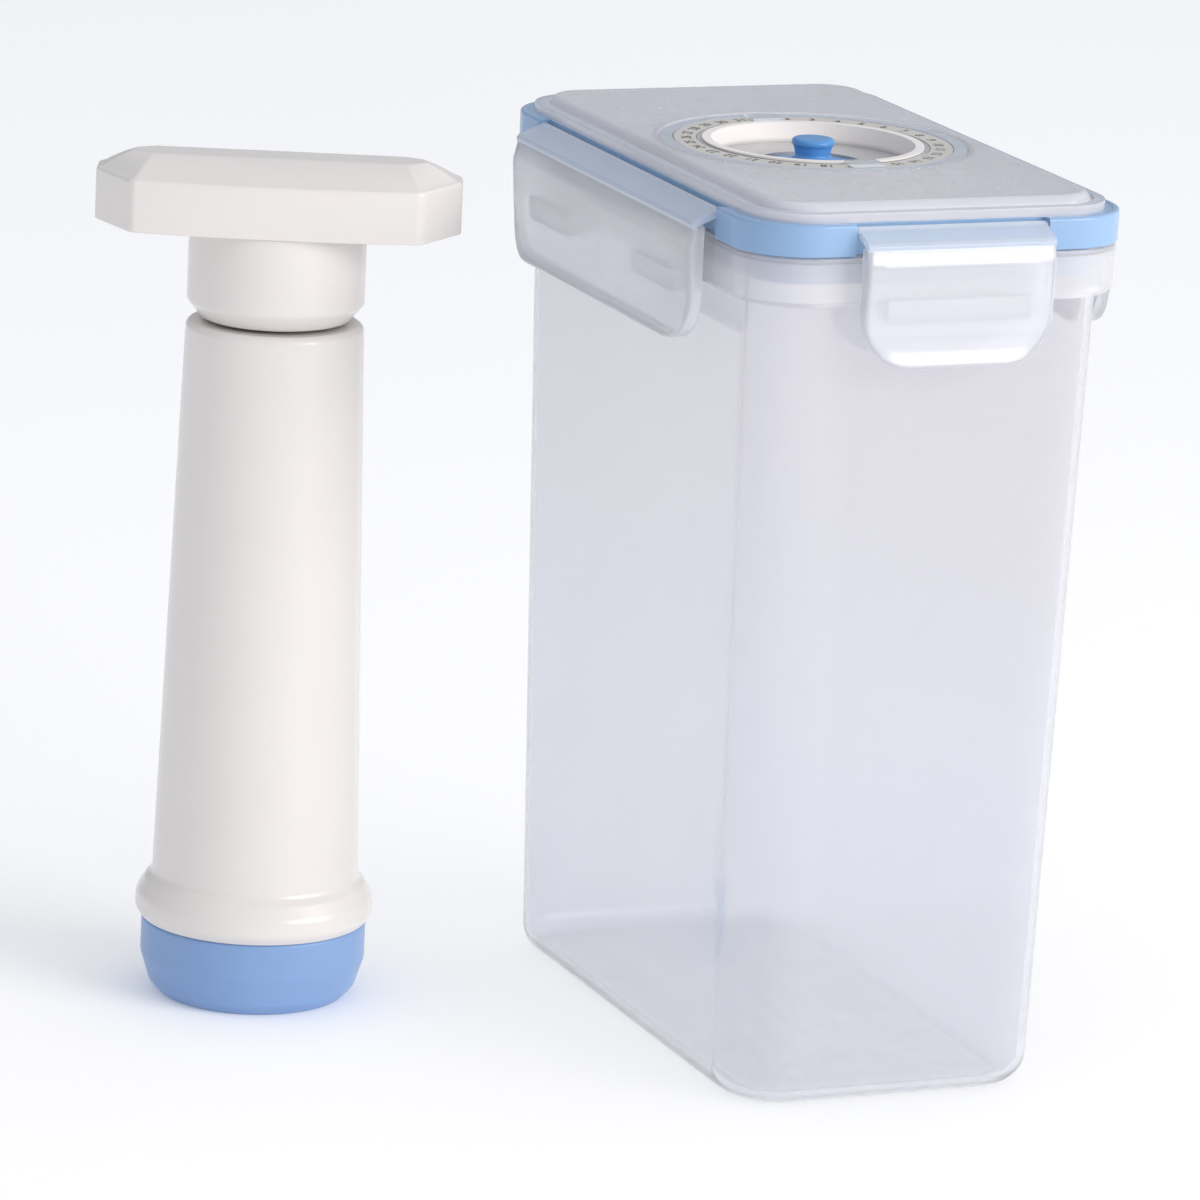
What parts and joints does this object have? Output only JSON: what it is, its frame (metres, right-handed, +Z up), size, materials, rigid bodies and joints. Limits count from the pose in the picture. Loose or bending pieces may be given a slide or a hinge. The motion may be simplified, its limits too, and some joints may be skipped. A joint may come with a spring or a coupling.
{
  "type": "vacuum seal canister",
  "caption": "Rectangular clear food canister with a clip-on lid, a vacuum valve and date dial in the lid, and its hand vacuum pump standing beside it.",
  "frame": {"origin": "centre of the canister's flat base, on the surface that it stands on", "axes": "+Z up, -Y towards the narrow front with its latch, X across the narrow side, with the pump at -X"},
  "size_m": [0.2122, 0.1732, 0.2154],
  "materials": {
    "clear_polypropylene": "translucent, gloss moulded",
    "blue_polypropylene": "gloss moulded",
    "frosted_polypropylene": "frosted, translucent",
    "gasket_silicone": "satin",
    "white_dish_plastic": "gloss moulded",
    "seal_rubber": "satin",
    "blue_valve_silicone": "satin",
    "dial_grey_plastic": "satin with dark printed numbers",
    "clear_ring_plastic": "clear, polished",
    "clear_bezel_plastic": "translucent, gloss moulded",
    "latch_polypropylene": "translucent, gloss moulded",
    "blue_cup_silicone": "satin",
    "white_pump_plastic": "warm white, gloss moulded",
    "inner_plastic": "moulded",
    "cylinder_plastic": "clear, polished bore",
    "screw_steel": "zinc plated"
  },
  "bodies": {
    "canister": {"canister_body": "clear_polypropylene"},
    "lid": {"lid_frame": "blue_polypropylene", "lid_cover": "frosted_polypropylene", "lid_gasket": "gasket_silicone", "valve_housing": "white_dish_plastic", "housing_o_ring": "seal_rubber", "dial_bezel": "clear_bezel_plastic"},
    "valve": {"valve_button": "blue_valve_silicone"},
    "day_dial": {"day_ring": "dial_grey_plastic"},
    "pointer": {"pointer_ring": "clear_ring_plastic"},
    "front_latch": {"latch_front": "latch_polypropylene"},
    "back_latch": {"latch_back": "latch_polypropylene"},
    "left_latch": {"latch_left": "latch_polypropylene"},
    "right_latch": {"latch_right": "latch_polypropylene"},
    "pump": {"pump_suction_cup": "blue_cup_silicone", "pump_barrel": "white_pump_plastic", "pump_valve_plate": "inner_plastic", "pump_cylinder": "cylinder_plastic", "pump_top_bush": "inner_plastic"},
    "plunger": {"pump_rod": "inner_plastic", "pump_piston": "inner_plastic", "pump_piston_seal": "seal_rubber", "pump_neck": "white_pump_plastic", "pump_handle_base": "white_pump_plastic", "pump_handle": "white_pump_plastic", "handle_screw": "screw_steel"},
    "inlet_flap": {"pump_inlet_valve": "seal_rubber"},
    "exhaust_flap": {"pump_exhaust_valve": "seal_rubber"}
  },
  "joints": [
    {"name": "lid_lift", "type": "slide", "parent": "canister", "child": "lid", "axis": [0, 0, 1], "range_m": [0, 0.03]},
    {"name": "front_latch_swing", "type": "hinge", "parent": "lid", "child": "front_latch", "pos_m": [0, -0.0786, 0.2094], "axis": [-1, 0, 0], "range_deg": [0, 105]},
    {"name": "back_latch_swing", "type": "hinge", "parent": "lid", "child": "back_latch", "pos_m": [0, 0.0786, 0.2094], "axis": [1, 0, 0], "range_deg": [0, 105]},
    {"name": "left_latch_swing", "type": "hinge", "parent": "lid", "child": "left_latch", "pos_m": [-0.0466, 0, 0.2094], "axis": [0, 1, 0], "range_deg": [0, 105]},
    {"name": "right_latch_swing", "type": "hinge", "parent": "lid", "child": "right_latch", "pos_m": [0.0466, 0, 0.2094], "axis": [0, -1, 0], "range_deg": [0, 105]},
    {"name": "valve_pull", "type": "slide", "parent": "lid", "child": "valve", "axis": [0, 0, 1], "range_m": [0, 0.0015], "stiffness_N_per_m": 300},
    {"name": "day_turn", "type": "hinge", "parent": "lid", "child": "day_dial", "pos_m": [0, 0, 0.2135], "axis": [0, 0, 1], "continuous": true},
    {"name": "pointer_turn", "type": "hinge", "parent": "lid", "child": "pointer", "pos_m": [0, 0, 0.2138], "axis": [0, 0, 1], "continuous": true},
    {"name": "pump_lift", "type": "slide", "parent": "canister", "child": "pump", "axis": [0, 0, 1], "range_m": [0, 0.23]},
    {"name": "pump_stroke", "type": "slide", "parent": "pump", "child": "plunger", "axis": [0, 0, 1], "range_m": [0, 0.1]},
    {"name": "inlet_valve_lift", "type": "slide", "parent": "pump", "child": "inlet_flap", "axis": [0, 0, 1], "range_m": [0, 0.0008], "stiffness_N_per_m": 100},
    {"name": "exhaust_valve_lift", "type": "slide", "parent": "plunger", "child": "exhaust_flap", "axis": [0, 0, 1], "range_m": [0, 0.0008], "stiffness_N_per_m": 100}
  ],
  "couplings": [
    {"joint": "front_latch_swing", "follows": "lid_lift", "rad_per_m": 61},
    {"joint": "back_latch_swing", "follows": "lid_lift", "rad_per_m": 61},
    {"joint": "left_latch_swing", "follows": "lid_lift", "rad_per_m": 61},
    {"joint": "right_latch_swing", "follows": "lid_lift", "rad_per_m": 61}
  ]
}
